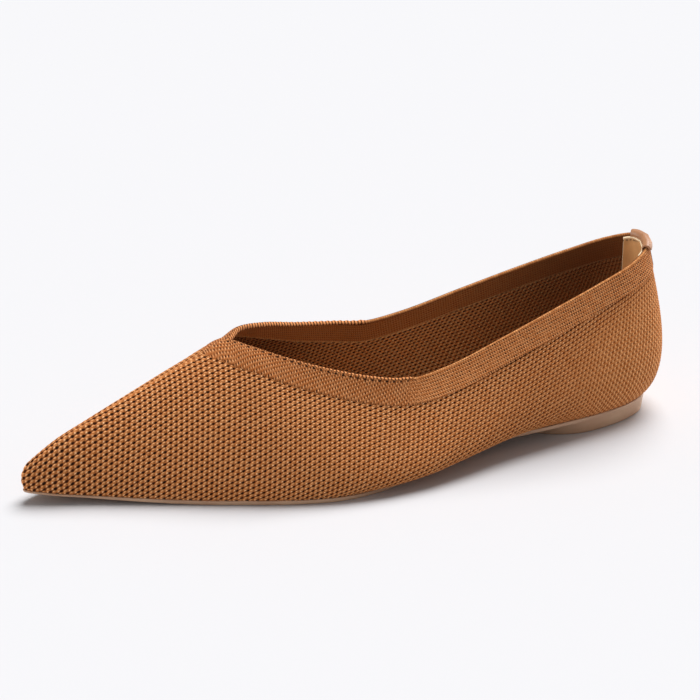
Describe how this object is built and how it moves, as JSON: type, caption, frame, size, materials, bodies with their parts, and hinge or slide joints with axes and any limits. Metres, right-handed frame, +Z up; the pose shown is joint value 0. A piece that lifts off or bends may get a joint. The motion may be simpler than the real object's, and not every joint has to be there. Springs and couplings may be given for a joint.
{
  "type": "pointed toe shoe",
  "caption": "Low pointed toe shoe for the left foot: knitted upper with a dense ribbed collar, thin moulded sole with a low heel, leather tab folded over the collar's back.",
  "frame": {"origin": "middle of the shoe's box in plan, on the floor plane that the heel and the ball stand on", "axes": "+X towards the toe, +Y towards the outer (left) side, +Z up"},
  "size_m": [0.2594, 0.0782, 0.0719],
  "materials": {
    "knit": "matt knitted yarn, caramel brown, open mesh with a dense ribbed collar band",
    "sole": "smooth moulded taupe, slightly satin",
    "insole": "matt tan lining leather",
    "grip_leather": "matt tan lining leather with a pale cut edge",
    "tab_leather": "smooth caramel leather"
  },
  "bodies": {
    "root": {"upper": "knit", "sole": "sole", "insole": "insole", "heel_grip": "grip_leather", "heel_tab": "tab_leather"}
  },
  "joints": []
}
